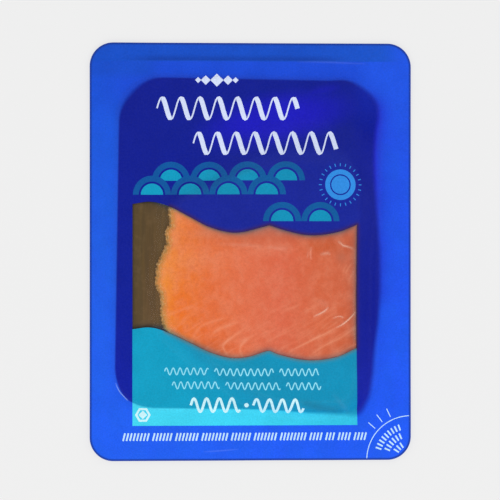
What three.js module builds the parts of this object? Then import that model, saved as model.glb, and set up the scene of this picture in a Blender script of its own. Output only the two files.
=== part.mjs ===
import * as THREE from 'three';

// A sealed flat pouch that lies on its back, with one slice of smoked fish on a stiff card inside it.
// The pouch is one solid out to its film: a thin sealed border, the low step over the card and the
// mound over the slice. Millimetres, +Z up, +Y towards the heading end, origin on the resting surface.

// Pouch
const POUCH_WIDTH = 127;
const POUCH_LENGTH = 165;
const POUCH_CORNER_RADIUS = 9.3;
const SEAL_THICKNESS = 0.4;

// The sealed border curls up a little from the card out to the cut edge
const EDGE_LIFT = 0.7;
const LIFT_START = 1.5;
const LIFT_END = 20;

// Card
const CARD_WIDTH = 102.8;
const CARD_LENGTH = 130.5;
const CARD_CORNER_RADIUS = 16.6;
const CARD_THICKNESS = 0.8;
const CARD_CENTRE = new THREE.Vector2(-1.4, 3);
const CARD_TURN = THREE.MathUtils.degToRad(-0.9);

// Slice, thin along its belly side on the left and thick along its back
const BELLY_THICKNESS = 5;
const BACK_THICKNESS = 7.2;
const BELLY_X = -35;
const BACK_X = 12;
const SLICE_OUTLINE = [
  [-28, 21.5], [-32.8, 16], [-33.2, 6], [-36.8, -9], [-35.6, -20], [-33.4, -29.5],
  [-23, -40], [-10, -50], [1, -57.5], [12, -60.8], [28, -61.5], [38.5, -60],
  [42.6, -52], [43, -35], [43, -7], [44.2, 26.5], [37.5, 38.2], [15.7, 40], [-2, 35], [-20.4, 25.3],
];

// How far the tight film spans past the card, and how much of the card's edge it touches
const CARD_DRAPE = 1.5;
const CARD_LIP = 0.3;

// The film spans a short way past the slice's sides, and a long way past its end under the heading
const SLICE_DRAPE = 5.5;
const HEADING_DRAPE = 15;
const HEADING_DRAPE_START = 26;
const HEADING_DRAPE_END = 42;
const SLICE_SHOULDER = 3.5;
const CROWN_REACH = 18;
const CROWN_SHARE = 0.12;

// Mesh
const CORNER_STEPS = 3;
const SIDE_STEP = 6.5;
const SLICE_STEPS = 90;
const HALVINGS = 26;
const RING_GAP = 0.4;
const HUB = new THREE.Vector2(6, -10);

const { smoothstep, lerp, clamp } = THREE.MathUtils;

function withLongSidesSplit(corners) {
  return corners.flatMap((start, index) => {
    const end = corners[(index + 1) % corners.length];
    const pieces = Math.ceil(start.distanceTo(end) / SIDE_STEP);
    return Array.from({ length: pieces }, (_, piece) => start.clone().lerp(end, piece / pieces));
  });
}

function roundedRectangle(width, length, radius) {
  const x = width / 2 - radius;
  const y = length / 2 - radius;
  const shape = new THREE.Shape();
  shape.absarc(x, y, radius, 0, Math.PI / 2);
  shape.absarc(-x, y, radius, Math.PI / 2, Math.PI);
  shape.absarc(-x, -y, radius, Math.PI, 1.5 * Math.PI);
  shape.absarc(x, -y, radius, 1.5 * Math.PI, 2 * Math.PI);
  return withLongSidesSplit(shape.getPoints(CORNER_STEPS));
}

function placedCard() {
  const centreOfTurn = new THREE.Vector2(0, 0);
  return roundedRectangle(CARD_WIDTH, CARD_LENGTH, CARD_CORNER_RADIUS)
    .map((point) => point.rotateAround(centreOfTurn, CARD_TURN).add(CARD_CENTRE));
}

function roundedSlice() {
  const points = SLICE_OUTLINE.map(([x, y]) => new THREE.Vector3(x, y, 0));
  const curve = new THREE.CatmullRomCurve3(points, true, 'centripetal');
  return curve.getPoints(SLICE_STEPS).slice(0, -1).map(({ x, y }) => new THREE.Vector2(x, y));
}

// Distance from a point to an outline, below zero inside it
function signedDistance(x, y, outline) {
  let nearest = Infinity;
  let inside = false;
  outline.forEach((start, index) => {
    const end = outline[(index + 1) % outline.length];
    const sideX = end.x - start.x;
    const sideY = end.y - start.y;
    const along = ((x - start.x) * sideX + (y - start.y) * sideY) / (sideX ** 2 + sideY ** 2);
    const share = clamp(along, 0, 1);
    nearest = Math.min(nearest, Math.hypot(x - start.x - share * sideX, y - start.y - share * sideY));
    const crosses = (start.y > y) !== (end.y > y);
    if (crosses && x < start.x + (sideX * (y - start.y)) / sideY) {
      inside = !inside;
    }
  });
  return inside ? -nearest : nearest;
}

const pouchOutline = roundedRectangle(POUCH_WIDTH, POUCH_LENGTH, POUCH_CORNER_RADIUS);
const cardOutline = placedCard();
const sliceOutline = roundedSlice();

const pastCard = (x, y) => signedDistance(x, y, cardOutline);
const pastSlice = (x, y) => signedDistance(x, y, sliceOutline);

// How far past the slice the film spans, as a share of its whole span there
function spanShare(x, y) {
  const nearHeading = smoothstep(y, HEADING_DRAPE_START, HEADING_DRAPE_END);
  return pastSlice(x, y) / lerp(SLICE_DRAPE, HEADING_DRAPE, nearHeading);
}

function borderLift(x, y) {
  return EDGE_LIFT * smoothstep(pastCard(x, y), LIFT_START, LIFT_END);
}

function cardRise(x, y) {
  return CARD_THICKNESS * (1 - smoothstep(pastCard(x, y), -CARD_LIP, CARD_DRAPE));
}

function sliceRise(x, y) {
  const thickness = lerp(BELLY_THICKNESS, BACK_THICKNESS, smoothstep(x, BELLY_X, BACK_X));
  const shoulder = 1 - smoothstep(spanShare(x, y), -SLICE_SHOULDER / SLICE_DRAPE, 1);
  const crown = 1 - smoothstep(pastSlice(x, y), -CROWN_REACH, 0);
  return thickness * ((1 - CROWN_SHARE) * shoulder + CROWN_SHARE * crown);
}

function frontHeight(x, y) {
  return borderLift(x, y) + SEAL_THICKNESS + cardRise(x, y) + sliceRise(x, y);
}

// How far a straight line from the hub runs before a measure of the place reaches a value
function reach(direction, edgeDistance, { measure, value }) {
  let near = 0;
  let far = edgeDistance;
  for (let halving = 0; halving < HALVINGS; halving += 1) {
    const middle = (near + far) / 2;
    const isInside = measure(HUB.x + direction.x * middle, HUB.y + direction.y * middle) < value;
    [near, far] = isInside ? [middle, far] : [near, middle];
  }
  return near;
}

// The lines of the surface, each where a measure has one value, from the cut edge in to the slice's top
const linesOf = (measure, values) => values.map((value) => ({ measure, value }));
const BORDER_LINES = linesOf(pastCard, [LIFT_END * 0.7, LIFT_END * 0.35, CARD_DRAPE]);
const CARD_LINES = linesOf(pastCard, [CARD_DRAPE * 0.4, -CARD_LIP]);
const SPAN_LINES = linesOf(spanShare, [1, 0.75, 0.5, 0.25, 0, -0.35]);
const TOP_LINES = linesOf(pastSlice, [-SLICE_SHOULDER, -CROWN_REACH * 0.5, -CROWN_REACH * 0.85]);
const FRONT_LINES = [...BORDER_LINES, ...CARD_LINES, ...SPAN_LINES, ...TOP_LINES];
const BACK_LINES = BORDER_LINES;

// Points along a straight line from the cut edge in towards the hub, one on each line of the surface
function spokePoints(edgePoint, lines) {
  const direction = edgePoint.clone().sub(HUB).normalize();
  const distances = [edgePoint.distanceTo(HUB)];
  lines.forEach((line) => {
    const distance = reach(direction, distances[0], line);
    distances.push(Math.min(distance, distances.at(-1) - RING_GAP));
  });
  return distances.map((distance) => HUB.clone().addScaledVector(direction, distance));
}

// One face of the pouch: rings of points round the hub, outermost first, and the hub itself last
function addFace(vertices, lines, height) {
  const spokes = pouchOutline.map((point) => spokePoints(point, lines));
  const rings = spokes[0].map((_, ring) => spokes.map((spoke) => {
    const { x, y } = spoke[ring];
    return vertices.push([x, y, height(x, y)]) - 1;
  }));
  const hub = vertices.push([HUB.x, HUB.y, height(HUB.x, HUB.y)]) - 1;
  return { rings, hub };
}

function strip(outer, inner) {
  return outer.flatMap((_, index) => {
    const next = (index + 1) % outer.length;
    return [
      [outer[index], outer[next], inner[next]],
      [outer[index], inner[next], inner[index]],
    ];
  });
}

function faceTriangles({ rings, hub }) {
  const strips = rings.slice(1).flatMap((ring, index) => strip(rings[index], ring));
  const last = rings.at(-1);
  const fan = last.map((point, index) => [point, last[(index + 1) % last.length], hub]);
  return [...strips, ...fan];
}

function pouchGeometry() {
  const vertices = [];
  const front = addFace(vertices, FRONT_LINES, frontHeight);
  const back = addFace(vertices, BACK_LINES, borderLift);
  const triangles = [
    ...faceTriangles(front),
    ...faceTriangles(back).map(([a, b, c]) => [a, c, b]),
    ...strip(back.rings[0], front.rings[0]),
  ];
  const geometry = new THREE.BufferGeometry();
  geometry.setAttribute('position', new THREE.Float32BufferAttribute(vertices.flat(), 3));
  geometry.setIndex(triangles.flat());
  geometry.computeVertexNormals();
  return geometry;
}

const printedFilm = new THREE.MeshStandardMaterial({ color: 0x225ae4, roughness: 0.3, metalness: 0 });

const pouch = new THREE.Mesh(pouchGeometry(), printedFilm);
pouch.name = 'pouch';

const pack = new THREE.Group();
pack.add(pouch);

export default pack;
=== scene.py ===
import math

import bpy
import numpy as np
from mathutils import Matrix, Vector, kdtree
from mathutils.geometry import delaunay_2d_cdt


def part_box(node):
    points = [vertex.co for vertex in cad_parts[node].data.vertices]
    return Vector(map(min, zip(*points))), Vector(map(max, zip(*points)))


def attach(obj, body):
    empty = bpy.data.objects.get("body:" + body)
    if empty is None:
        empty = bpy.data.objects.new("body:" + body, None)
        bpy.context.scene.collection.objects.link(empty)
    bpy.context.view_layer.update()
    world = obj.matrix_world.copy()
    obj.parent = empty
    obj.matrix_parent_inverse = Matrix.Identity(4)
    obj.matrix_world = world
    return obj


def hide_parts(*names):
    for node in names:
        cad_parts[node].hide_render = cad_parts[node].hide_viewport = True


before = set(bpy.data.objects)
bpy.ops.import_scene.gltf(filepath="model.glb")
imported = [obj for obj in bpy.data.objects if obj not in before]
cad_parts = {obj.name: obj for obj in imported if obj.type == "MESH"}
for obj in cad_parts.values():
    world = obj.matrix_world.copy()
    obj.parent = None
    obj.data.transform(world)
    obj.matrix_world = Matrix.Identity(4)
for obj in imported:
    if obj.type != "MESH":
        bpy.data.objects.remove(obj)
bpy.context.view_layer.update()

# A vacuum packed slice of smoked fish, lying on its back with the printed side up: the film with its
# print and clear window, the card inside it and the slice on the card.
# Sizes are in millimetres up to where a mesh is made.
MM = 0.001
SEED = 7
CORNER_STEPS = 16

# Pouch, as the solid has it
pouch_low, pouch_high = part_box("pouch")
POUCH_WIDTH = (pouch_high.x - pouch_low.x) / MM
POUCH_LENGTH = (pouch_high.y - pouch_low.y) / MM
POUCH_CORNER_RADIUS = 9.3
SEAL_THICKNESS = 0.4
EDGE_LIFT = 0.7
LIFT_START = 1.5
LIFT_END = 20
EDGE_WAVE = 0.12

# Card
CARD_WIDTH = 102.8
CARD_LENGTH = 130.5
CARD_CORNER_RADIUS = 16.6
CARD_STEP = 0.8
CARD_CENTRE = (-1.4, 3)
CARD_TURN = -0.9
CARD_BASE = 0.15
CARD_TOP = 0.95
CARD_ROUNDING = 0.2

# Slice
BELLY_THICKNESS = 5
BACK_THICKNESS = 7.2
BELLY_X = -35
BACK_X = 12
SLICE_OUTLINE = [
    (-28, 21.5), (-32.8, 16), (-33.2, 6), (-36.8, -9), (-35.6, -20), (-33.4, -29.5),
    (-23, -40), (-10, -50), (1, -57.5), (12, -60.8), (28, -61.5), (38.5, -60),
    (42.6, -52), (43, -35), (43, -7), (44.2, 26.5), (37.5, 38.2), (15.7, 40), (-2, 35), (-20.4, 25.3),
]
# The left side as the window shows it, which the solid follows more roughly
FLESH_OUTLINE = [
    (-28, 21.8), (-32.6, 17.5), (-32.4, 13.8), (-32.1, 11.6), (-33.9, 8), (-33.5, 4.2), (-34.6, 0.6),
    (-36.9, -4.2), (-37.8, -10.4), (-37.5, -14), (-35.9, -17.6), (-35.8, -23), (-35.2, -28), (-34, -31.8),
    (-30, -36.6), (-23, -42), (-10, -50), (1, -57.5), (12, -60.8), (28, -61.5), (40, -60),
    (44.4, -52), (44.9, -35), (44.9, -7), (45.2, 26.5),
] + SLICE_OUTLINE[16:]
SLICE_BASE = 0.97
FILM_GAP = 0.1
RIPPLE_DEPTH = 0.05

# The tight film's spans
CARD_DRAPE = 1.5
CARD_LIP = 0.3
SLICE_DRAPE = 5.5
HEADING_DRAPE = 15
HEADING_DRAPE_START = 26
HEADING_DRAPE_END = 42
SLICE_SHOULDER = 3.5
CROWN_REACH = 18
CROWN_SHARE = 0.12
BELLY_TAPER = 4.3

# Print: the label field that holds the window and the band under it
LABEL_LEFT = -46.7
LABEL_SIDE_RIGHT = [(41.5, 10.4), (41.35, -15), (41.4, -42), (41.7, -54), (42.1, -62), (42.35, -68.7)]
LABEL_BOTTOM = -68.7
BAND_DROP = 49.4
WINDOW_EDGE_LEFT = [
    (-46.7, 18.85), (-39.8, 19.77), (-33.5, 18.4), (-24.4, 13.8), (-16.2, 9.6), (-6.2, 7.46), (7.1, 10.4),
]
WINDOW_EDGE_RIGHT = [(7.1, 10.4), (12, 8.7), (19.6, 6.85), (25.7, 6.5), (34.5, 7.9), (41.5, 10.6)]
# How much higher the band's own edge runs than the window's upper one, by the place across the pack
BAND_EDGE_RISE = [
    (-46.7, 0), (-32.6, -0.5), (-27, -0.1), (-18, 0.4), (-5, 0.2), (0, 0), (5.4, 0.4), (10, 0),
    (19, 0.3), (25, 0.4), (34, 0.5), (38.6, 0.9), (42, 1),
]

# The step of the top seal
SEAL_LINE_Y = 75.3
SEAL_STEP = 0.12


# Plane geometry

def smoothstep(values, low, high):
    share = np.clip((np.asarray(values, float) - low) / (high - low), 0, 1)
    return share * share * (3 - 2 * share)


def lerp(start, end, share):
    return start + (end - start) * share


def pointing(turn):
    """The unit direction at some degrees, anticlockwise from the right."""
    return np.array((math.cos(math.radians(turn)), math.sin(math.radians(turn))))


def arc(centre, radius, start, end, steps):
    angles = np.radians(np.linspace(start, end, steps + 1))
    return np.column_stack([centre[0] + radius * np.cos(angles), centre[1] + radius * np.sin(angles)])


def rounded_rectangle(width, length, radius):
    x = width / 2 - radius
    y = length / 2 - radius
    corners = [((x, y), 0), ((-x, y), 90), ((-x, -y), 180), ((x, -y), 270)]
    return np.concatenate([arc(centre, radius, turn, turn + 90, CORNER_STEPS) for centre, turn in corners])


def placed_on_card(points):
    """Turns and moves points from the card's own middle to its place in the pouch."""
    return points @ np.array([pointing(CARD_TURN), pointing(CARD_TURN + 90)]) + CARD_CENTRE


def curve_pieces(before, start, end, after, steps):
    """Centripetal Catmull-Rom pieces from each start to its end."""
    def gap(first, second):
        return np.linalg.norm(second - first, axis=1, keepdims=True) ** 0.5

    lead, span, trail = gap(before, start), gap(start, end), gap(end, after)
    leaving = ((start - before) / lead - (end - before) / (lead + span) + (end - start) / span) * span
    arriving = ((end - start) / span - (after - start) / (span + trail) + (after - end) / trail) * span
    share = np.linspace(0, 1, steps, endpoint=False)[None, :, None]
    start, end, leaving, arriving = (part[:, None] for part in (start, end, leaving, arriving))
    cubic = (2 * start - 2 * end + leaving + arriving) * share**3
    square = (3 * end - 3 * start - 2 * leaving - arriving) * share**2
    return (cubic + square + leaving * share + start).reshape(-1, 2)


def smooth_loop(corners, steps):
    corners = np.array(corners, float)
    return curve_pieces(*(np.roll(corners, shift, axis=0) for shift in (1, 0, -1, -2)), steps)


def smooth_line(corners, steps):
    corners = np.array(corners, float)
    first = 2 * corners[0] - corners[1]
    last = 2 * corners[-1] - corners[-2]
    padded = np.vstack([first, corners, last])
    line = curve_pieces(padded[:-3], padded[1:-2], padded[2:-1], padded[3:], steps)
    return np.vstack([line, corners[-1]])


def split_evenly(points, step, closed=True):
    """The same outline with points at most one step apart."""
    ends = np.roll(points, -1, axis=0) if closed else points[1:]
    stretches = []
    for start, end in zip(points, ends):
        pieces = max(1, math.ceil(np.linalg.norm(end - start) / step))
        share = np.arange(pieces)[:, None] / pieces
        stretches.append(lerp(start, end, share))
    if not closed:
        stretches.append(points[-1:])
    return np.vstack(stretches)


def anticlockwise(outline):
    x, y = outline.T
    area = np.sum(x * np.roll(y, -1) - y * np.roll(x, -1))
    return outline if area > 0 else outline[::-1]


def signed_distance(points, outline):
    """How far each point lies from a closed outline, below zero inside it."""
    x, y = points.T
    nearest = np.full(len(points), np.inf)
    inside = np.zeros(len(points), bool)
    for (start_x, start_y), (end_x, end_y) in zip(outline, np.roll(outline, -1, axis=0)):
        side_x, side_y = end_x - start_x, end_y - start_y
        along = ((x - start_x) * side_x + (y - start_y) * side_y) / (side_x**2 + side_y**2)
        share = np.clip(along, 0, 1)
        nearest = np.minimum(nearest, np.hypot(x - start_x - share * side_x, y - start_y - share * side_y))
        if side_y:
            crosses = (start_y > y) != (end_y > y)
            inside ^= crosses & (x < start_x + side_x * (y - start_y) / side_y)
    return np.where(inside, -nearest, nearest)


def sideways(line, closed=False):
    """The unit direction to the left of a line at each of its points."""
    along = np.roll(line, -1, axis=0) - np.roll(line, 1, axis=0) if closed else np.gradient(line, axis=0)
    along /= np.linalg.norm(along, axis=1, keepdims=True)
    return np.column_stack([-along[:, 1], along[:, 0]])


def from_line(points, line):
    """How far each point lies from an open line, and where along it, from 0 to 1, it is nearest."""
    nearest = np.full(len(points), np.inf)
    place = np.zeros(len(points))
    for index, (start, end) in enumerate(zip(line[:-1], line[1:])):
        side = end - start
        share = np.clip((points - start) @ side / (side @ side), 0, 1)
        distance = np.linalg.norm(points - start - share[:, None] * side, axis=1)
        place = np.where(distance < nearest, (index + share) / (len(line) - 1), place)
        nearest = np.minimum(nearest, distance)
    return nearest, place


def grid_inside(outline, step, margin):
    """Points in staggered rows inside an outline, at least a margin from it."""
    low, high = outline.min(0), outline.max(0)
    columns = np.arange(low[0], high[0], step)
    rows = np.arange(low[1], high[1], step * math.sqrt(3) / 2)
    grid = np.vstack([np.column_stack([columns + (row % 2) * step / 2, np.full(len(columns), y)])
                      for row, y in enumerate(rows)])
    return grid[signed_distance(grid, outline) < -margin]


def far_from(points, others, gap):
    """The points that lie at least a gap away from all the others."""
    tree = kdtree.KDTree(len(others))
    for index, (x, y) in enumerate(others):
        tree.insert((x, y, 0), index)
    tree.balance()
    return points[[tree.find((x, y, 0))[2] >= gap for x, y in points]]


pouch_outline = rounded_rectangle(POUCH_WIDTH, POUCH_LENGTH, POUCH_CORNER_RADIUS)
card_outline = placed_on_card(rounded_rectangle(CARD_WIDTH, CARD_LENGTH, CARD_CORNER_RADIUS))
slice_outline = smooth_loop(SLICE_OUTLINE, 5)
flesh_outline = smooth_loop(FLESH_OUTLINE, 8)


# Heights of the film

def back_height(points):
    past_card = signed_distance(points, card_outline)
    lift = smoothstep(past_card, LIFT_START, LIFT_END)
    x, y = points.T
    wave = np.sin(x / 17 + 0.6) * np.sin(y / 23 + 1.1) + 0.5 * np.sin(x / 7.3 + y / 9.1)
    return lift * (EDGE_LIFT + EDGE_WAVE * wave)


def slice_thickness(x):
    return lerp(BELLY_THICKNESS, BACK_THICKNESS, smoothstep(x, BELLY_X, BACK_X))


def slice_rise(points):
    x, y = points.T
    past_slice = signed_distance(points, slice_outline)
    span = lerp(SLICE_DRAPE, HEADING_DRAPE, smoothstep(y, HEADING_DRAPE_START, HEADING_DRAPE_END))
    shoulder = 1 - smoothstep(past_slice / span, -SLICE_SHOULDER / SLICE_DRAPE, 1)
    crown = 1 - smoothstep(past_slice, -CROWN_REACH, 0)
    return slice_thickness(x) * ((1 - CROWN_SHARE) * shoulder + CROWN_SHARE * crown)


def front_height(points):
    past_card = signed_distance(points, card_outline)
    card_rise = CARD_STEP * (1 - smoothstep(past_card, -CARD_LIP, CARD_DRAPE))
    return back_height(points) + SEAL_THICKNESS + card_rise + slice_rise(points)


# Folds of the tight film: each is a line, its height, its half width and how pale it is painted,
# as a glint along it
HEADING_FOLD = [(16, 58.8), (26, 63.2), (36, 65.3)]
FOLDS = [
    ([(24, -25.5), (26.9, -24.2), (28.9, -23), (30.3, -21.4)], 0.1, 0.44, 0.5),
    ([(26, -19.2), (28.2, -20.2), (30, -21.6)], 0.05, 1.8, 0.1),
    ([(33, -29.9), (35.2, -28.8), (36.8, -27.7), (38.3, -26.4), (39.7, -25), (41, -23.4)],
     0.12, 0.38, 0.58),
    ([(31.6, -26.4), (33.9, -25.4), (35.5, -25.5), (36.3, -26.2)], 0.05, 0.34, 0.34),
    ([(-14, 3), (-3, 2.6), (5, 1.9)], 0.04, 0.95, 0.09),
    ([(6, 1.8), (10.2, 1.3), (14.6, 1)], 0.05, 0.85, 0.12),
    ([(26.6, -1.2), (28.8, -0.7), (30, -0.6), (31.2, -1.3)], 0.06, 0.75, 0.24),
    ([(33.7, 4.3), (35, 3.3), (36.1, 2.4), (37.7, 2), (40.2, 1.1)], 0.09, 0.5, 0.42),
    ([(23.5, 2.2), (23.1, -0.8), (23.4, -3.4)], 0.03, 0.45, 0.2),
    ([(22.2, 0.8), (21.9, -2.8)], 0.03, 0.4, 0.13),
    ([(-53.4, -51.6), (-52.6, -53.6), (-51.4, -55.6), (-49.1, -58.1), (-48.4, -58.8)], 0.1, 0.17, 0.62),
    (HEADING_FOLD, 0.1, 1.6, 0),
    ([(18, -60.6), (31, -63), (42.5, -66.2)], 0.06, 1.2, 0),
    ([(31.7, -55.2), (34.2, -58.3), (36, -60.4), (37.6, -62.3), (38.8, -64.2)], 0.03, 1.1, 0.03),
    ([(-19, -79), (-12, -78.6), (-4.5, -78)], 0.03, 0.3, 0.1),
    ([(18, 75.2), (30, 75.1), (38, 74.8), (46, 74.5)], 0.03, 0.4, 0.06),
]
# How far apart a fold's points lie, and their rows across it, in such steps or in half widths if less
FOLD_STEP = 0.45
FOLD_ROWS = (-2.2, -1.2, -0.6, 0, 0.6, 1.2, 2.2)


def nearness(points, line, width):
    """1 on the middle of the line, falling off smoothly to both sides and towards its ends."""
    distance, place = from_line(points, line)
    return np.exp(-((distance / width) ** 2)) * np.sin(math.pi * place) ** 0.6


def fold_lines():
    return [(smooth_line(corners, 8), height, width, pale) for corners, height, width, pale in FOLDS]


def fold_grid():
    """Close-set points along both sides of each fold."""
    rows = []
    for line, _, width, _ in fold_lines():
        line = split_evenly(line, FOLD_STEP, closed=False)
        aside = sideways(line) * min(width, FOLD_STEP)
        rows += [line + aside * row for row in FOLD_ROWS]
    return np.vstack(rows)


def film_relief(points):
    relief = np.zeros(len(points))
    for line, height, width, _ in fold_lines():
        relief += height * nearness(points, line, width)
    y = points[:, 1]
    relief += SEAL_STEP * smoothstep(y, SEAL_LINE_Y + 0.4, SEAL_LINE_Y - 0.4)
    return relief


# Print shapes, each a closed outline

def disc(centre, radius, steps):
    return arc(centre, radius, 0, 360, steps)[:-1]


def nested(centre, discs):
    """Discs round one middle, each given as a print, a radius and a number of sides."""
    return [(shade, disc(centre, radius, sides)) for shade, radius, sides in discs]


def ribbon(line, width):
    """A band along a line, with square ends; the width is one number, or one for each point."""
    aside = sideways(line) * np.reshape(width, (-1, 1)) / 2
    return np.vstack([line + aside, (line - aside)[::-1]])


def wave_line(left, right, y, amplitude, wavelength):
    x = np.linspace(left, right, math.ceil((right - left) / wavelength * 16))
    return np.column_stack([x, y + amplitude * np.sin(2 * math.pi * (x - left) / wavelength)])


def brushed(line, thin, thick):
    """A band along a line from left to right, thickest where it falls, as a flat pen draws it."""
    falling = sideways(line)[:, 0]
    return ribbon(line, lerp(thin, thick, smoothstep(falling, -0.1, 0.9)))


def label_outlines():
    """The outlines of the window and of the band under it."""
    side = smooth_line(LABEL_SIDE_RIGHT, 6)
    top = np.vstack([smooth_line(WINDOW_EDGE_LEFT, 10), smooth_line(WINDOW_EDGE_RIGHT, 8)[1:]])
    x, y = top.T
    middle = np.column_stack([x, y - BAND_DROP + np.interp(x, *np.transpose(BAND_EDGE_RISE))])
    corner_y = middle[-1, 1]
    corner = np.array([[np.interp(-corner_y, -side[:, 1], side[:, 0]), corner_y]])
    middle = middle[middle[:, 0] < corner[0, 0] - 0.2]
    upper_side = side[(side[:, 1] > corner_y + 0.2) & (side[:, 1] < top[-1, 1] - 0.2)]
    lower_side = side[side[:, 1] < corner_y - 0.2]
    window = np.vstack([top, upper_side, corner, middle[::-1]])
    band = np.vstack([middle, corner, lower_side, [(LABEL_LEFT, LABEL_BOTTOM)]])
    return anticlockwise(window), anticlockwise(band)


window_outline, band_outline = label_outlines()


def heading_marks():
    """Two pen-drawn waves, and a row of lozenges above them."""
    rows = [(-37, 18.5, 56.6), (-22.7, 33.5, 42.8)]
    waves = [brushed(wave_line(left, right, y, 4.3, 7.4), 0.6, 1.85) for left, right, y in rows]
    spots = ((-20.8, 1.2), (-17.8, 1.9), (-13.4, 2.6), (-9, 1.9), (-6, 1.2))
    return waves + [disc((x, 67.8), radius, 4) for x, radius in spots]


def scallop_marks():
    """Three rows of scallops, the lowest row last."""
    rows = ((28, -31.5, 4), (22.5, -39, 4), (12, 12, 2))
    middles = [(first + index * 15, y) for y, first, count in rows for index in range(count)]
    arches = (("mid_blue", 7.5, 24), ("blue", 5.2, 20), ("teal", 4.4, 18))
    return [(shade, arc(middle, radius, 0, 180, steps))
            for middle in middles for shade, radius, steps in arches]


def seal_mark():
    """A plain disc with a thin inner ring and a ring of ticks."""
    centre = np.array((34.9, 26.3))
    marks = nested(centre, (("light_blue", 6, 48), ("blue", 4.1, 40), ("light_blue", 3.6, 40)))
    for turn in range(0, 360, 15):
        tick = centre + np.outer((7.3, 8.5), pointing(turn))
        marks.append(("light_blue", ribbon(tick, 0.35)))
    return marks


def band_marks():
    """Rows of waves in pieces, with a dot in the lowest row's gap."""
    rows = [
        (-47.2, 1.35, 2.7, 0.46, [(-34, -16.8), (-14.4, 8.6), (11, 26.3)], "pale_cyan"),
        (-52.7, 1.35, 2.7, 0.46, [(-31, -12.4), (-10, 11.3), (13.7, 27.2)], "pale_cyan"),
        (-60.6, 2.7, 5, 1, [(-23.7, -4.3), (0.9, 20.6)], "cyan_white"),
    ]
    marks = []
    for y, amplitude, wavelength, stroke, spans, shade in rows:
        for left, right in spans:
            marks.append((shade, ribbon(wave_line(left, right, y, amplitude, wavelength), stroke)))
    return marks + [("cyan_white", disc((-1.7, -60.6), 0.9, 14))]


def lozenge_mark():
    """A small pale ring with six sides round a lozenge."""
    return nested((-42.6, -64.4), (("cyan_white", 3.1, 6), ("teal", 2.15, 6), ("cyan_white", 1.7, 4)))


def slanted_stroke(middle, length, angle, width):
    line = np.array(middle) + np.outer((-length / 2, length / 2), pointing(angle))
    return ribbon(split_evenly(line, 0.6, closed=False), width)


def bottom_marks():
    """A row of slanted strokes in groups of uneven length."""
    left, right, stroke_gap, group_gap = -50.0, 45.6, 1.35, 0.9
    random = np.random.default_rng(SEED)
    places = []
    while left < right - 1:
        count = int(random.integers(3, 9))
        places += [left + index * stroke_gap for index in range(count)]
        left += count * stroke_gap + group_gap
    return [slanted_stroke((x, -73.1), 3.1, 76, 0.66) for x in places if x < right]


def corner_marks():
    """The opening corner: an arc round it with rays outside, and rows of short strokes fanned out inside."""
    corner = np.array((POUCH_WIDTH, -POUCH_LENGTH)) / 2
    marks = [ribbon(arc(corner, 17.5, 92, 178, 30), 0.32)]
    rows = [(20.6, 3, 127, 4.2, 3.6, 0.32)]
    rows += [(radius, count, 135, 1.5, 2.4, 0.62) for radius, count in ((13.6, 9), (10.2, 6), (6.8, 3))]
    for radius, count, middle_turn, gap, length, width in rows:
        for place in np.arange(count) - (count - 1) / 2:
            turn = middle_turn + math.degrees(place * gap / radius)
            marks.append(slanted_stroke(corner + pointing(turn) * radius, length, turn, width))
    return marks


def print_regions():
    """The front's print as pairs of a print's name and an outline, each painted over the ones before it."""
    regions = [("clear", window_outline), ("teal", band_outline)] + scallop_marks()
    regions += seal_mark() + lozenge_mark() + band_marks()
    regions += [("white", outline) for outline in heading_marks()]
    return regions + [("pale_blue", outline) for outline in bottom_marks() + corner_marks()]


# Meshes

def triangulated(outline, regions, loose):
    """Triangles over an outline: all corners, each triangle's corners and region, the outline's corners."""
    points = [anticlockwise(part) for part in [outline] + regions]
    starts = np.cumsum([0] + [len(part) for part in points])
    faces = [list(range(start, start + len(part))) for start, part in zip(starts, points)]
    corners = np.vstack(points + [loose])
    made = delaunay_2d_cdt([Vector(corner) for corner in corners], [], faces, 0, 1e-5, True)
    places, _, triangles, came_from, _, inside = made
    made_from = {source: index for index, sources in enumerate(came_from) for source in sources}
    border = [made_from[index] for index in faces[0]]
    plan = np.array([tuple(place) for place in places])
    facing_up = []
    region_of = []
    for (a, b, c), ids in zip(triangles, inside):
        if 0 in ids:
            side, other = plan[b] - plan[a], plan[c] - plan[a]
            facing_up.append((a, b, c) if side[0] * other[1] > side[1] * other[0] else (a, c, b))
            region_of.append(max(ids) - 1)
    return plan, facing_up, region_of, border


def ring_faces(low, high):
    """Faces between two rings of vertices that run anticlockwise, one above the other."""
    return [(high[index - 1], low[index - 1], low[index], high[index]) for index in range(len(low))]


def new_piece(name, vertices, faces, materials):
    mesh = bpy.data.meshes.new(name)
    mesh.from_pydata((np.asarray(vertices) * MM).tolist(), [], faces)
    for material in materials:
        mesh.materials.append(material)
    mesh.shade_smooth()
    piece = bpy.data.objects.new(name, mesh)
    bpy.context.scene.collection.objects.link(piece)
    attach(piece, "root")
    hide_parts("pouch")
    return piece


def add_values(piece, values):
    """Gives a piece's corners the named values that its materials read."""
    for name, numbers in values.items():
        attribute = piece.data.attributes.new(name, "FLOAT", "POINT")
        attribute.data.foreach_set("value", np.asarray(numbers, np.float32))


# Node graphs

def rgb(red, green, blue):
    """A colour as a screen shows it, 0 to 255, as light."""
    shares = np.array((red, green, blue)) / 255
    light = np.where(shares <= 0.04045, shares / 12.92, ((shares + 0.055) / 1.055) ** 2.4)
    return (*light, 1)


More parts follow.
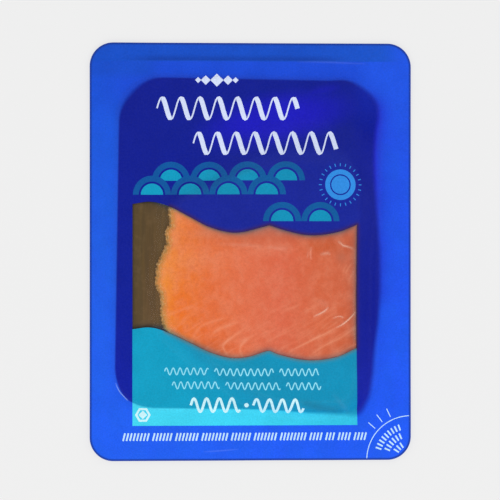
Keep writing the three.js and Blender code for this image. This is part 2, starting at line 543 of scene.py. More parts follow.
class Graph:
    """A material's node tree, with short calls for the nodes it is made of."""

    def __init__(self, name):
        self.material = bpy.data.materials.new(name)
        self.material.use_nodes = True
        self.tree = self.material.node_tree
        self.tree.nodes.clear()

    def node(self, kind, inputs, **settings):
        made = self.tree.nodes.new(kind)
        for key, value in settings.items():
            setattr(made, key, value)
        for socket, value in inputs.items():
            if isinstance(value, bpy.types.NodeSocket):
                self.tree.links.new(value, made.inputs[socket])
            else:
                made.inputs[socket].default_value = value
        return made

    def value(self, name):
        return self.node("ShaderNodeAttribute", {}, attribute_name=name).outputs["Fac"]

    def place(self):
        return self.node("ShaderNodeTexCoord", {}).outputs["Object"]

    def axis(self, letter):
        return self.node("ShaderNodeSeparateXYZ", {0: self.place()}).outputs[letter]

    def up(self, low, high):
        """0 to 1 up the pack, from one place to another in mm."""
        return self.spread(self.axis("Y"), low * MM, high * MM)

    def across(self, left, right):
        """0 to 1 across the pack, from one place to another in mm."""
        return self.spread(self.axis("X"), left * MM, right * MM)

    def blended(self, value, stops, unit=MM):
        """A colour that runs from stop to stop as a value grows; each stop is a value and a colour."""
        colour = rgb(*stops[0][1])
        for (start, _), (end, shade) in zip(stops[:-1], stops[1:]):
            share = self.spread(value, start * unit, end * unit, smooth=False)
            colour = self.mix(share, colour, rgb(*shade))
        return colour

    def noise(self, size, detail, stretch=(1, 1, 1), turn=0):
        """Noise in blotches of about a size in mm, on places turned by some degrees and then stretched."""
        turned = {"Vector": self.place(), "Rotation": (0, 0, math.radians(turn))}
        stretched = {"Vector": self.node("ShaderNodeMapping", turned).outputs[0], "Scale": stretch}
        where = self.node("ShaderNodeMapping", stretched).outputs[0]
        inputs = {"Vector": where, "Scale": 1 / (size * MM), "Detail": detail}
        return self.node("ShaderNodeTexNoise", inputs).outputs["Fac"]

    def spread(self, value, low, high, start=0, end=1, smooth=True):
        """A value that runs from start to end as another runs from low to high."""
        kind = "SMOOTHSTEP" if smooth else "LINEAR"
        inputs = {"Value": value, "From Min": low, "From Max": high, "To Min": start, "To Max": end}
        return self.node("ShaderNodeMapRange", inputs, interpolation_type=kind, clamp=True).outputs[0]

    def varied(self, noise, low, high, smooth=True):
        """Noise as a value that runs from a low one to a high one."""
        return self.spread(noise, 0.3, 0.7, low, high, smooth)

    def math(self, operation, first, second):
        return self.node("ShaderNodeMath", {0: first, 1: second}, operation=operation).outputs[0]

    def times(self, first, *others):
        for other in others:
            first = self.math("MULTIPLY", first, other)
        return first

    def mix(self, share, first, second):
        """A colour between two others, by the numbers of the node's colour sockets."""
        return self.node("ShaderNodeMix", {0: share, 6: first, 7: second}, data_type="RGBA").outputs[2]

    def layered(self, share, under, over):
        """One shader over another, with a share from 0 to 1."""
        return self.node("ShaderNodeMixShader", {0: share, 1: under, 2: over}).outputs[0]

    def through_print(self, bare, on_card, on_slice):
        """Translucent print's colour past the card, over it and over the slice."""
        over_card = self.mix(self.spread(self.value("past_slice"), -2.5, 2.5), on_slice, on_card)
        past_card = self.math("DIVIDE", self.value("past_card"), self.value("card_blur"))
        return self.mix(self.spread(past_card, -1, 1), over_card, bare)

    def grained(self, colour, size, amount):
        """The colour, a little brighter and darker from place to place."""
        value = self.varied(self.noise(size, 3), 1 - amount, 1 + amount, smooth=False)
        return self.node("ShaderNodeHueSaturation", {"Color": colour, "Value": value}).outputs[0]

    def bump(self, height, depth, strength):
        inputs = {"Height": height, "Distance": depth * MM, "Strength": strength}
        return self.node("ShaderNodeBump", inputs).outputs[0]

    def surface(self, colour, roughness, specular, others):
        inputs = {"Base Color": colour, "Roughness": roughness, "Specular IOR Level": specular, **others}
        return self.node("ShaderNodeBsdfPrincipled", inputs).outputs[0]

    def finish(self, shader):
        self.node("ShaderNodeOutputMaterial", {"Surface": shader})
        return self.material


def film_finish(graph, colour):
    """Gloss film of a colour, uneven, finely bumpy, with painted sheen, fold glints and cut-edge shade."""
    tone = graph.varied(graph.noise(9, 3), 0, 0.07)
    colour = graph.mix(tone, colour, (0, 0, 0.02, 1))
    colour = graph.grained(colour, 0.6, 0.08)
    # A faint painted sheen, whiter from place to place
    sheen = graph.varied(graph.noise(0.7, 2), 0, 0.004)
    colour = graph.mix(sheen, colour, (1, 1, 1, 1))
    # Painted glints: the film turns pale along its folds
    colour = graph.mix(graph.value("fold"), colour, rgb(178, 208, 250))
    # Painted shade: the film darkens within a millimetre of its cut edge
    cut_edge_shade = graph.spread(graph.value("from_cut"), 0.45, 1.1, 0.8, 0)
    colour = graph.mix(cut_edge_shade, colour, rgb(32, 58, 140))
    roughness = graph.varied(graph.noise(14, 2), 0.24, 0.33)
    return graph.surface(colour, roughness, 0.03, {"Normal": graph.bump(graph.noise(1.6, 2), 0.02, 0.25)})


def plain_ink(name, colours):
    graph = Graph(name + "_print")
    return graph.finish(film_finish(graph, graph.through_print(*[rgb(*colour) for colour in colours])))


# The blue film's colours, darker towards the top and brighter towards the foot as painted light.
# By the place up the pack: beside the card at its left and right, and over the card in the middle and at its
# right, partly darker there as painted shade of the film's slope. By the place across: under the top seal,
# and on the seal.
LEFT_BLUE = [(-75, (36, 96, 245)), (-10, (35, 94, 232)), (50, (31, 88, 222))]
RIGHT_BLUE = [(-75, (37, 93, 250)), (-15, (36, 87, 242)), (55, (35, 83, 229))]
TOP_BLUE = [(-61, (29, 83, 216)), (-50, (31, 77, 214)), (41, (31, 77, 217)), (48, (35, 87, 230))]
SEAL_BLUE = [(-60, (27, 81, 200)), (20, (27, 80, 198)), (54, (30, 86, 204))]
CARD_BLUE = [(-62, (21, 34, 162)), (-10, (19, 33, 148)), (60, (21, 33, 145))]
CARD_RIGHT_BLUE = [
    (-56, (26, 38, 167)), (-25, (20, 31, 152)), (22, (25, 37, 149)), (45, (16, 28, 146)),
    (64, (21, 38, 164)),
]


def blue_ink():
    """The blue field: brighter to the foot as painted light, darker on the top seal, violet painted sheen on
    spans.
    """
    graph = Graph("blue_print")
    x, y = graph.axis("X"), graph.axis("Y")
    # Painted light: the bare film brightens towards the foot
    bare = graph.mix(graph.across(-50, 50), graph.blended(y, LEFT_BLUE), graph.blended(y, RIGHT_BLUE))
    patchy = graph.varied(graph.noise(8, 3, (1, 0.6, 1)), 0, 0.18)
    bare = graph.mix(patchy, bare, rgb(28, 100, 208))
    # Painted shade: darker towards the top, between the card and the top seal
    bare = graph.mix(graph.times(graph.up(46, 66), 0.9), bare, graph.blended(x, TOP_BLUE))
    # Painted shade in the top left corner
    corner = graph.times(graph.up(67, 72), graph.across(-34, -44), 0.8)
    bare = graph.mix(corner, bare, rgb(28, 79, 200))
    on_seal = graph.times(graph.up(SEAL_LINE_Y - 0.3, SEAL_LINE_Y + 0.3), graph.across(62, 50))
    bare = graph.mix(on_seal, bare, graph.blended(x, SEAL_BLUE))
    # Painted shade at the foot of the top seal's step
    line_y = SEAL_LINE_Y + 0.6
    seal_crease_shade = graph.times(graph.up(line_y - 0.6, line_y), graph.up(line_y + 2.6, line_y))
    seal_crease_shade = graph.times(seal_crease_shade, graph.across(-56, -34), graph.across(44, 24), 0.66)
    bare = graph.mix(seal_crease_shade, bare, rgb(24, 62, 160))
    # Over the card: brighter to the foot as painted light, with painted shade of the film's slope at the
    # right
    on_card = graph.mix(graph.across(39, 46), graph.blended(y, CARD_BLUE), graph.blended(y, CARD_RIGHT_BLUE))
    # A painted violet sheen where the film spans a hollow
    on_card = graph.mix(graph.value("tent_sheen"), on_card, rgb(32, 30, 189))
    # Painted shade, violet, on the film's slope beside the card's right edge
    bare = graph.mix(graph.value("slope_shade"), bare, rgb(38, 44, 206))
    # Painted shade: the bare film darkens close to the card's edge
    bare = graph.mix(graph.value("beside_card_shade"), bare, on_card)
    colour = graph.through_print(bare, on_card, rgb(28, 41, 152))
    # The print thins over the slice at the window's edge and darkens there as painted shade
    colour = graph.mix(graph.value("thin_ink_and_shade"), colour, rgb(68, 36, 42))
    return graph.finish(film_finish(graph, colour))


def teal_ink():
    """The band: cyan past the card, teal over it and duller over the slice, paler to the left, a painted
    shadow.
    """
    graph = Graph("teal_print")
    cyan = graph.mix(graph.across(-46, -5), rgb(68, 214, 241), rgb(64, 214, 245))
    cyan = graph.mix(graph.across(2, 42), cyan, rgb(54, 199, 232))
    on_card = graph.mix(graph.across(-40, 36), rgb(20, 159, 196), rgb(19, 147, 189))
    on_slice = graph.mix(graph.across(-20, 30), rgb(22, 146, 183), rgb(21, 145, 186))
    colour = graph.through_print(cyan, on_card, on_slice)
    # Painted shadow on the band along the slice's lower edge
    colour = graph.mix(graph.value("band_shadow"), colour, rgb(32, 104, 130))
    # The print thins over the slice at the window's edge and darkens there as painted shade
    colour = graph.mix(graph.value("thin_ink_and_shade"), colour, rgb(98, 116, 104))
    return graph.finish(film_finish(graph, colour))


def clear_window():
    """Clear film that mirrors a little, with ink traces and painted shade by the print's edge, and painted
    fold glints.
    """
    graph = Graph("clear_window")
    roughness = graph.varied(graph.noise(12, 2), 0.10, 0.18)
    mirror = {"Metallic": 1.0, "Normal": graph.bump(graph.noise(1.8, 2), 0.02, 0.2)}
    gloss = graph.surface((1, 1, 1, 1), roughness, 0.5, mirror)
    # Painted shade by the print's edge: less light comes through the clear film there, least of all red
    over_slice = graph.across(-40, -34)
    shade = graph.mix(over_slice, (0.5, 0.6, 0.85, 1), (0.5, 0.86, 1, 1))
    tint = graph.mix(graph.value("ink_trace_and_shade"), (0.985, 0.985, 0.985, 1), shade)
    through = graph.node("ShaderNodeBsdfTransparent", {"Color": tint}).outputs[0]
    turned_away = graph.node("ShaderNodeLayerWeight", {"Blend": 0.5}).outputs["Facing"]
    mirrored = graph.math("ADD", graph.math("POWER", turned_away, 5.0), 0.004)
    film = graph.layered(mirrored, through, gloss)
    ink = graph.surface(rgb(60, 130, 225), 0.4, 0.2, {})
    film = graph.layered(graph.times(graph.value("ink_trace_and_shade"), over_slice, 0.09), film, ink)
    # A painted glint: pale matt film along the folds over the window
    pale = graph.surface(rgb(255, 214, 188), 0.3, 0.4, {})
    return graph.finish(graph.layered(graph.value("fold"), film, pale))


def card_surface():
    """Gold-brown board with a faint grain along its length, and painted light towards the foot and by the
    slice.
    """
    graph = Graph("gold_board")
    # Painted light: the board brightens towards the foot, except at its left strip
    inner = graph.mix(graph.up(-40, 14), rgb(106, 80, 48), rgb(94, 72, 39))
    colour = graph.mix(graph.across(-46, -40), rgb(92, 73, 39), inner)
    # Painted light beside the slice, where the slice shades the board
    colour = graph.mix(graph.times(graph.across(-40, -34), 0.16), colour, rgb(150, 120, 74))
    grain = graph.noise(1.1, 4, (1, 0.08, 1))
    colour = graph.mix(graph.varied(grain, 0, 0.35), colour, rgb(60, 47, 28))
    flecks = graph.noise(2.5, 4)
    colour = graph.mix(graph.spread(flecks, 0.45, 0.75, 0, 0.3), colour, rgb(116, 93, 62))
    normal = {"Normal": graph.bump(grain, 0.05, 0.3)}
    return graph.finish(graph.surface(colour, graph.varied(grain, 0.42, 0.6), 0.3, normal))


# The flesh's colours by the place across the pack, from the belly side to the back
FLESH_COLOURS = [
    (-33, (239, 139, 46)), (-28, (236, 125, 46)), (-18, (230, 113, 58)), (-4, (227, 114, 76)),
    (12, (221, 106, 75)), (28, (214, 104, 68)), (40, (206, 100, 66)),
]

# The rim's colours at the belly side by how far in, tan at the very edge: its own colour, darkened towards
# the edge by painted shade of the rounded edge
RIM_COLOURS = [(0, (152, 111, 66)), (0.6, (196, 144, 82)), (1.5, (228, 150, 74))]


def flesh():
    """Smoked flesh: orange at the belly side, pinker towards the back, pale fat lines, a tan rim partly
    painted shade.
    """
    graph = Graph("flesh")
    uneven = graph.times(graph.math("SUBTRACT", graph.noise(14, 3), 0.5), 8 * MM)
    colour = graph.blended(graph.math("ADD", graph.axis("X"), uneven), FLESH_COLOURS)
    # The darker places are mostly painted shade along the window's edges
    for name, shade in (("deep", (236, 98, 8)), ("shade_and_dark", (180, 78, 38)), ("pale", (238, 178, 146))):
        colour = graph.mix(graph.value(name), colour, rgb(*shade))
    mottle = graph.noise(3.2, 5, (1, 0.8, 1))
    colour = graph.mix(graph.spread(mottle, 0.35, 0.72, 0, 0.22), colour, rgb(236, 152, 118))
    speckle = graph.noise(1.1, 4)
    colour = graph.mix(graph.spread(speckle, 0.42, 0.75, 0, 0.26), colour, rgb(210, 86, 48))
    colour = graph.grained(colour, 0.6, 0.05)
    streaks = graph.noise(1.5, 3, (0.12, 1, 1), -30)
    streaked = graph.times(graph.spread(streaks, 0.48, 0.72, 0, 0.22), graph.up(-12, -30))
    colour = graph.mix(streaked, colour, rgb(238, 152, 118))
    colour = graph.mix(graph.value("fat"), colour, rgb(244, 170, 134))
    colour = graph.mix(graph.value("haze"), colour, rgb(150, 116, 100))
    # The tan rim at the belly edge, partly painted shade of its rounded edge
    ragged = graph.math("ADD", graph.value("from_edge"), graph.varied(graph.noise(1.3, 3), -0.5, 0.5))
    flecks = graph.spread(graph.noise(0.9, 2), 0.52, 0.66, 0, 0.55)
    rim_colour_and_shade = graph.mix(flecks, graph.blended(ragged, RIM_COLOURS, 1), rgb(240, 206, 150))
    rim = graph.times(graph.spread(ragged, 1, 3.1, 1, 0), graph.across(-20, -26))
    colour = graph.mix(rim, colour, rim_colour_and_shade)
    normal = {"Normal": graph.bump(mottle, 0.12, 0.35)}
    return graph.finish(graph.surface(colour, graph.varied(mottle, 0.38, 0.55), 0.25, normal))


# The inks of the marks: each one's colour past the card, over it and over the slice
PLAIN_INKS = {
    "mid_blue": [(24, 120, 200), (18, 89, 160), (20, 92, 158)],
    "light_blue": [(70, 170, 240), (52, 143, 229), (52, 143, 229)],
    "pale_blue": [(198, 233, 255)] * 3,
    "pale_cyan": [(146, 226, 246)] * 3,
    "cyan_white": [(204, 245, 252)] * 3,
    "white": [(222, 232, 255), (215, 226, 253), (212, 223, 250)],
}

PRINTS = {"blue": blue_ink(), "clear": clear_window(), "teal": teal_ink()}
PRINTS.update((name, plain_ink(name, colours)) for name, colours in PLAIN_INKS.items())


# Pieces

# How close the film's corners lie: on the front, on the back and along the print's outlines
FILM_STEP = 0.85
BACK_STEP = 3.0
PRINT_STEP = 0.6

# How far loose corners keep from the closer-set ones: by the folds, by the window's edge and elsewhere
FOLD_GAP = 0.12
EDGE_GAP = 0.22
GRID_GAP = 0.35

# The values that are nothing on the back film, and a distance past all shading
FRONT_VALUES = ("slope_shade", "tent_sheen", "fold", "ink_trace_and_shade", "thin_ink_and_shade", "band_shadow")
FAR = 50.0

# A painted shadow on the band, along the slice's lower edge
BAND_SHADOW_LINE = [(17, -57.8), (24, -60.4), (30, -62), (37, -63.2)]

# How much narrower the card shows through the film at its right side, by how far up the pack
SEEN_NARROWER = [
    (-70, -0.4), (-58.8, -0.6), (-54.8, 0.25), (-50.9, 0.7), (-39, 0.2), (-27, -1.2), (-15.2, -1.6),
    (0.7, -1.2), (12.6, -0.1), (24.5, 1.1), (36.4, 1.75), (48.3, 1.2), (60.2, -1.2), (70, -1.4),
]


def bump_at(points, centre, reach):
    """1 at a place, falling off smoothly all round it."""
    return np.exp(-np.sum(((points - centre) / reach) ** 2, axis=1))


def seen_past_card(points):
    """How far a point lies past the card as it shows through the film: dented and bulging at the right."""
    past_card = signed_distance(points, card_outline)
    x, y = points.T
    narrower = np.interp(y, *smooth_line(SEEN_NARROWER, 8).T)
    # A painted shadow: the card's dark reaches further down below its lower right edge
    card_shadow_reach = 1.1 * smoothstep(x, 8, 26) * smoothstep(y, -48, -58) + 2.8 * bump_at(points, (43.5, -66), 6)
    rounder_corners = bump_at(points, (-47.9, 63.4), 8) + 0.9 * bump_at(points, (43.5, 65), 6)
    rounder_corners -= 1.1 * bump_at(points, (-48.6, -57), 6.5)
    return past_card + smoothstep(x, 30, 44) * narrower - card_shadow_reach + rounder_corners


def tent_sheen_share(points):
    """Where a violet sheen is painted on spanning film: a slanted oval under the heading, and a ridge above
    it.
    """
    offset = points - (9.7, 52.2)
    along, across = offset @ pointing(10.5), offset @ pointing(100.5)
    oval = 1 - smoothstep(np.hypot(along / 30, across / 10.5), 0.35, 1.25)
    ridge = nearness(points, smooth_line(HEADING_FOLD, 8), 1.8)
    return np.maximum(oval, 0.5 * ridge)


def print_edge(points):
    """Painted shade of the clear film by the print's edge, and how thin and shaded the print is there over
    the slice.
    """
    x = points[:, 0]
    past_window = signed_distance(points, window_outline)
    past_band = signed_distance(points, band_outline)
    across = np.interp(x, (-45.5, -41, 36, 40), (0.4, 1, 1, 0.75))
    reach = np.interp(x, (-20, 0, 30, 38), (0.6, 0.85, 0.85, 1.15))
    # Painted shade on the clear film along the print's edge, fading into the window, and along the band's
    # edge
    along_field = across * smoothstep(past_band, 0, 4) * np.exp(np.minimum(past_window, 0) / reach)
    along_band = np.interp(x, (-25, -5), (0.8, 0.52)) * np.exp(-((past_band / 1.4) ** 2))
    over_slice = 1 - smoothstep(signed_distance(points, flesh_outline), -0.5, 1)
    # How far the print's side of the edge thins and darkens with painted shade over the slice
    thin = np.where(past_band < 0, 0.66, 0.72) * np.exp(-((np.maximum(past_window, 0) / 0.9) ** 2))
    return np.maximum(along_field, along_band), over_slice * thin


def film_values(points):
    """The values that the film's shading reads at each corner."""
    x, y = points.T
    # How strong a pale glint is painted along each fold
    folds = np.zeros(len(points))
    for line, _, width, pale in fold_lines():
        folds = np.maximum(folds, pale * nearness(points, line, width * 0.8))
    past_card = seen_past_card(points)
    soft_foot = smoothstep(x, 10, 34) * smoothstep(y, -40, -56)
    soft = np.max([smoothstep(x, 36, 46), soft_foot, bump_at(points, (-47.9, 63.4), 9)], axis=0)
    ink_trace_and_shade, thin_ink_and_shade = print_edge(points)
    # Painted shade on the film's slope beside the card's right edge, by the place up the pack
    slope_shade_share = np.interp(y, (-24, -16, 8, 30, 50, 58, 64), (0, 0.5, 0.55, 1.05, 1.05, 0.8, 0.2))
    return {
        "past_card": past_card,
        "card_blur": lerp(0.45, 1.3, soft),
        # Painted shade on the bare film close to the card's edge
        "beside_card_shade": lerp(0.16, 0.3, smoothstep(y, 38, 60)) * np.exp(-np.maximum(past_card, 0) / 1.5),
        "slope_shade": slope_shade_share * smoothstep(x, 44, 48) * np.exp(-np.maximum(past_card, 0) / 3),
        "past_slice": signed_distance(points, slice_outline) + 2.5 * smoothstep(x, 36, 44),
        "tent_sheen": tent_sheen_share(points),
        "fold": folds,
        "ink_trace_and_shade": ink_trace_and_shade,
        "thin_ink_and_shade": thin_ink_and_shade,
        "band_shadow": 0.42 * nearness(points, smooth_line(BAND_SHADOW_LINE, 6), 1.6),
        "from_cut": -signed_distance(points, pouch_outline),
    }


def beside_window():
    """Close-set points along both sides of the window's edge."""
    aside = -sideways(window_outline, closed=True)
    lines = [window_outline + aside * gap for gap in (-1.1, -0.4, 0.4, 1.1)]
    return np.vstack([split_evenly(line, PRINT_STEP) for line in lines])


def build_film():
    outline = split_evenly(pouch_outline, FILM_STEP)
    names, shapes = zip(*print_regions())
    shapes = [split_evenly(shape, PRINT_STEP) for shape in shapes]
    closer = np.vstack([outline] + shapes)
    folds = far_from(fold_grid(), closer, FOLD_GAP)
    closer = np.vstack([closer, folds])
    beside = far_from(beside_window(), closer, EDGE_GAP)
    grid = grid_inside(pouch_outline, FILM_STEP, FILM_STEP * 0.6)
    grid = far_from(grid, np.vstack([closer, beside]), GRID_GAP)
    plan, triangles, region_of, rim = triangulated(outline, shapes, np.vstack([folds, beside, grid]))
    back_grid = grid_inside(pouch_outline, BACK_STEP, BACK_STEP * 0.6)
    back_plan, back_triangles, _, back_rim = triangulated(outline, [], back_grid)

    front = np.column_stack([plan, front_height(plan) + film_relief(plan)])
    back = np.column_stack([back_plan, back_height(back_plan)])
    offset = len(front)
    faces = triangles + [(a + offset, c + offset, b + offset) for a, b, c in back_triangles]
    faces += ring_faces([index + offset for index in back_rim], rim)
    piece = new_piece("pouch_film", np.vstack([front, back]), faces, PRINTS.values())

    numbers = {name: number for number, name in enumerate(PRINTS)}
    painted = [numbers[names[region]] if region >= 0 else numbers["blue"] for region in region_of]
    painted += [numbers["blue"]] * (len(faces) - len(painted))
    piece.data.polygons.foreach_set("material_index", painted)
    values = film_values(np.vstack([plan, back_plan]))
    values["past_slice"][offset:] = FAR
    for name in FRONT_VALUES:
        values[name][offset:] = 0
    add_values(piece, values)
    piece.data.set_sharp_from_angle(angle=math.radians(50))


def build_card():
    rings = [(CARD_ROUNDING, CARD_BASE), (0, CARD_BASE + CARD_ROUNDING),
             (0, CARD_TOP - CARD_ROUNDING), (CARD_ROUNDING, CARD_TOP)]
    vertices = []
    loops = []
    for inset, z in rings:
        width, length = CARD_WIDTH - 2 * inset, CARD_LENGTH - 2 * inset
        shape = rounded_rectangle(width, length, CARD_CORNER_RADIUS - inset)
        loops.append(range(len(vertices), len(vertices) + len(shape)))
        vertices += [(x, y, z) for x, y in placed_on_card(shape)]
    faces = [tuple(reversed(loops[0])), tuple(loops[-1])]
    for low, high in zip(loops[:-1], loops[1:]):
        faces += ring_faces(low, high)
    piece = new_piece("card", vertices, faces, [card_surface()])
    piece.data.set_sharp_from_angle(angle=math.radians(40))


# Fat lines of the slice, each with its half width and how pale it is
FAT_LINES = [
    ([(-22.6, -21), (-28, -23), (-33.3, -25.3)], 0.6, 0.2),
    ([(-22, -23.6), (-26.3, -26.6), (-31.3, -32)], 0.7, 0.16),
    ([(-8.4, -25.4), (-19.7, -29.3), (-24.2, -35.9)], 0.55, 0.26),
    ([(-4.3, -27.2), (-10.3, -29.4), (-14, -31.3), (-16.9, -34.1)], 0.6, 0.32),
    ([(-9.2, -27.7), (-19.7, -33.9)], 0.45, 0.08),
    ([(-2.1, -29.6), (-7.6, -33.5), (-9.7, -35.1), (-11.1, -37.2), (-10.3, -39), (-8.4, -42)], 0.5, 0.4),
    ([(2.2, -31.8), (-1.1, -34), (-3.3, -35.7), (-4.4, -37.8), (-4.1, -39.7), (-3, -42.2)], 0.5, 0.36),
    ([(16.2, -30.3), (10.6, -32.9), (4.5, -36.1)], 0.5, 0.2),
    ([(20.4, -20.1), (17.2, -21.5), (12.2, -23.3)], 0.5, 0.2),
    ([(26.9, -20.4), (23.1, -22.3), (20.4, -23.8)], 0.5, 0.18),
    ([(22.2, -26.7), (14, -30.2), (6.6, -34.5)], 0.45, 0.13),
    ([(20, -28.4), (12.4, -32.1), (4.3, -36.9)], 0.45, 0.11),
    ([(30.6, -25.6), (27.6, -27.5), (25.2, -29.2)], 0.32, 0.14),
    ([(32, -26.8), (29.2, -28.7), (26.7, -30.8)], 0.32, 0.18),
    ([(35.4, -28.5), (31.8, -30.6), (27.9, -32.6), (24.6, -34.2), (21.3, -35.9), (14.4, -39.2)], 0.38, 0.42),
    ([(42.2, -29.4), (35.6, -33.4), (27.6, -37.4), (22.4, -41.1)], 0.45, 0.34),
    ([(45, -35.3), (35.6, -38.2), (28.7, -40.9)], 0.5, 0.1),
    ([(39.5, -4.2), (37.9, -6.7), (36.8, -8.6)], 0.3, 0.26),
    ([(37.7, -4.6), (36.5, -6.6), (35.8, -8.2)], 0.3, 0.2),
    ([(34.6, -4.2), (34.2, -6.8)], 0.3, 0.14),
    ([(40.3, -7.2), (39.3, -9.2), (38.5, -11.2)], 0.3, 0.16),
    ([(38.6, -9.6), (38.2, -14.4)], 0.5, 0.1),
]

# Places where the flesh is paler, deeper in colour, darker or hazy: middle, reach across and up, how much.
# The darker places are mostly painted shade along the window's edges.
COLOUR_PLACES = {
    "pale": [
        ((-22, -3), (12, 4.5), 0.16), ((-31, 3), (4, 4), 0.16), ((6, 1.8), (10, 2), 0.1),
        ((-18, 7), (4, 2.5), 0.16), ((-31, -6), (4, 8), 0.1), ((-31.5, 12), (4, 5), 0.24),
    ],
    "deep": [
        ((-28, -22), (6, 7), 0.44), ((-19, -33), (9, 6), 0.38), ((27, 2.6), (9, 3.5), 0.16),
        ((33, -28), (9, 7), 0.08), ((38, -36), (6, 6), 0.12), ((-9, -40), (9, 5), 0.32),
        ((-28, -31), (5, 5), 0.4),
    ],
    "shade_and_dark": [
        ((29, 2.6), (9, 3.5), 0.44), ((4, 4.6), (24, 3), 0.26), ((40, -38), (5, 4), 0.36),
        ((-33, -29), (4, 4), 0.12), ((-16, -38.5), (8, 4.5), 0.4), ((39, -33), (3, 5), 0.2),
        ((33.4, -26.9), (1.3, 0.9), 0.4),
    ],
    "haze": [((0, 8), (20, 2.6), 0.3), ((35.3, -2.2), (2.2, 2.6), 0.26)],
}


def ragged_outline():
    """The slice's outline with small scallops, and the directions out of it."""
    outline = split_evenly(flesh_outline, 0.32)
    along = np.arange(len(outline)) * 2 * math.pi / len(outline)
    random = np.random.default_rng(SEED)
    wobble = np.zeros(len(outline))
    for waves, size in ((41, 0.10), (103, 0.12), (167, 0.12), (241, 0.10)):
        wobble += size * np.sin(along * waves + random.uniform(0, 6.28))
    outward = -sideways(outline, closed=True)
    return outline + outward * wobble[:, None], outward


# How close the slice's corners lie, over it and on its fat lines, and how far in the rings by its edge are
FLESH_STEP = 0.55
FAT_STEP = 0.7
EDGE_RINGS = (0.12, 0.4, 0.8)


def slice_top(plan, past, fat):
    """The height of the slice's top: rounded at its edge, close under the film and rippled."""
    x, y = plan.T
    at_back = smoothstep(x, -24, BACK_X)
    round_share = np.clip(-past / lerp(BELLY_TAPER, SLICE_SHOULDER, at_back), 0, 1)
    shoulder = (1 - (1 - round_share) ** 2) ** lerp(1, 0.5, at_back)
    waves = RIPPLE_DEPTH * (2.4 + np.sin(x / 2.1 + y / 3.3) + np.sin(x / 3.7 - y / 1.9))
    top = np.minimum(SLICE_BASE + slice_thickness(x) * shoulder, front_height(plan) - FILM_GAP)
    return np.maximum(top - shoulder * (waves + 0.04 * fat), SLICE_BASE)


def build_fish():
    outline, outward = ragged_outline()
    rings = [outline - outward * inset for inset in EDGE_RINGS]
    lines = [split_evenly(smooth_line(corners, 6), FAT_STEP, closed=False) for corners, *_ in FAT_LINES]
    sides = []
    for line, (_, width, _) in zip(lines, FAT_LINES):
        aside = sideways(line) * width * 0.8
        sides += [line, line + aside, line - aside]
    sides = [side[signed_distance(side, outline) < -1] for side in sides]
    grid = grid_inside(outline, FLESH_STEP, EDGE_RINGS[-1] + FLESH_STEP * 0.5)
    grid = far_from(grid, np.vstack(sides), 0.25)
    plan, triangles, _, rim = triangulated(outline, [], np.vstack(rings + sides + [grid]))

    past = np.minimum(signed_distance(plan, outline), 0)
    past[rim] = 0
    fat = np.zeros(len(plan))
    for line, (_, width, strength) in zip(lines, FAT_LINES):
        fat = np.maximum(fat, strength * nearness(plan, line, width))

    # The flat underside shares the rim's corners and has a few of its own
    base_plan, base_triangles, _, base_rim = triangulated(outline, [], grid[::37])
    number = dict(zip(base_rim, rim))
    extra = [index for index in range(len(base_plan)) if index not in number]
    number.update((index, len(plan) + place) for place, index in enumerate(extra))
    vertices = np.vstack([
        np.column_stack([plan, slice_top(plan, past, fat)]),
        np.column_stack([base_plan[extra], np.full(len(extra), SLICE_BASE)]),
    ])
    faces = triangles + [(number[a], number[c], number[b]) for a, b, c in base_triangles]
    piece = new_piece("fish", vertices, faces, [flesh()])
    values = {"fat": fat}
    for name, places in COLOUR_PLACES.items():
        values[name] = np.max([amount * bump_at(plan, *place) for *place, amount in places], axis=0)
    values = {name: np.pad(numbers, (0, len(extra))) for name, numbers in values.items()}
    values["from_edge"] = np.pad(-past, (0, len(extra)), constant_values=FAR)
    add_values(piece, values)
    piece.data.set_sharp_from_angle(angle=math.radians(60))


build_film()
build_card()
build_fish()


# Floor, light and camera, with sizes in metres and turns in degrees

FLOOR_SIZE = 12
FLOOR_DEPTH = 0.0004
FOOT_LIGHT_SIZE = (1.3, 0.6)
FOOT_LIGHT_TILT = 45
FOOT_LIGHT_DISTANCE = 1.2
FOOT_LIGHT_RADIANCE = 1.2
CAMERA_LENS = 127.3
CAMERA_TILT = 2.29
CAMERA_DISTANCE = 0.7
CAMERA_TARGET = Vector((-0.26, 0.69, 0)) * MM


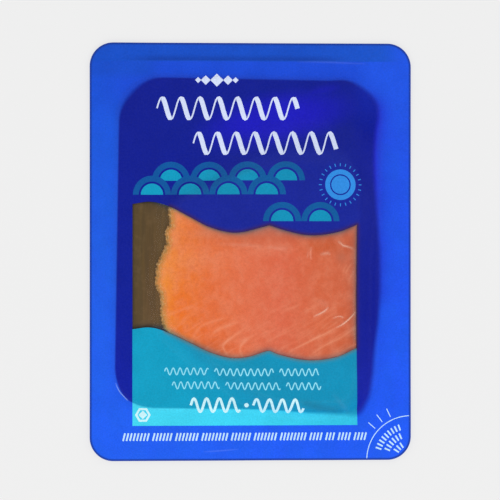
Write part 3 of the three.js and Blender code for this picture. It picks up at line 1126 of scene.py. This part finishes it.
def build_floor():
    bpy.ops.mesh.primitive_plane_add(size=FLOOR_SIZE, location=(0, 0, -FLOOR_DEPTH))
    floor = bpy.context.object
    floor.name = "floor"
    graph = Graph("pale_floor")
    glow = {"Emission Color": (1, 1, 1, 1), "Emission Strength": 0.712}
    floor.data.materials.append(graph.finish(graph.surface((0.15, 0.15, 0.15, 1), 0.9, 0.0, glow)))


def build_light():
    """A wide soft light past the foot, turned to the pack."""
    width, depth = FOOT_LIGHT_SIZE
    data = bpy.data.lights.new("foot_light", "AREA")
    data.shape = "RECTANGLE"
    data.size = width
    data.size_y = depth
    data.energy = FOOT_LIGHT_RADIANCE * math.pi * width * depth
    light = bpy.data.objects.new("foot_light", data)
    tilt = math.radians(FOOT_LIGHT_TILT)
    light.location = Vector((0, -math.sin(tilt), math.cos(tilt))) * FOOT_LIGHT_DISTANCE
    light.rotation_euler = (tilt, 0, 0)
    bpy.context.scene.collection.objects.link(light)


# The studio's light: the cosine of the angle from straight above, and the light there
WORLD_LIGHT = [(0.15, 0.5), (0.45, 1.25), (0.8, 1.25), (0.96, 0.04)]


def build_world():
    world = bpy.data.worlds.new("studio")
    world.use_nodes = True
    bpy.context.scene.world = world
    tree = world.node_tree
    where = tree.nodes.new("ShaderNodeTexCoord").outputs["Generated"]
    split = tree.nodes.new("ShaderNodeSeparateXYZ")
    tree.links.new(where, split.inputs[0])
    ramp = tree.nodes.new("ShaderNodeValToRGB")
    ramp.color_ramp.interpolation = "EASE"
    stops = ramp.color_ramp.elements
    stops.remove(stops[1])
    for height, light in WORLD_LIGHT:
        stops.new(height).color = (light, light, light, 1)
    stops.remove(stops[0])
    tree.links.new(split.outputs["Z"], ramp.inputs[0])
    tree.links.new(ramp.outputs[0], tree.nodes["Background"].inputs["Color"])


def build_camera():
    data = bpy.data.cameras.new("camera")
    data.sensor_width = 36
    data.lens = CAMERA_LENS
    camera = bpy.data.objects.new("camera", data)
    tilt = math.radians(CAMERA_TILT)
    back = Vector((-math.sin(tilt), 0, math.cos(tilt)))
    camera.location = CAMERA_TARGET + back * CAMERA_DISTANCE
    camera.rotation_euler = (0, -tilt, 0)
    bpy.context.scene.collection.objects.link(camera)
    bpy.context.scene.camera = camera


build_floor()
build_world()
build_light()
build_camera()
bpy.context.scene.view_settings.view_transform = "Standard"
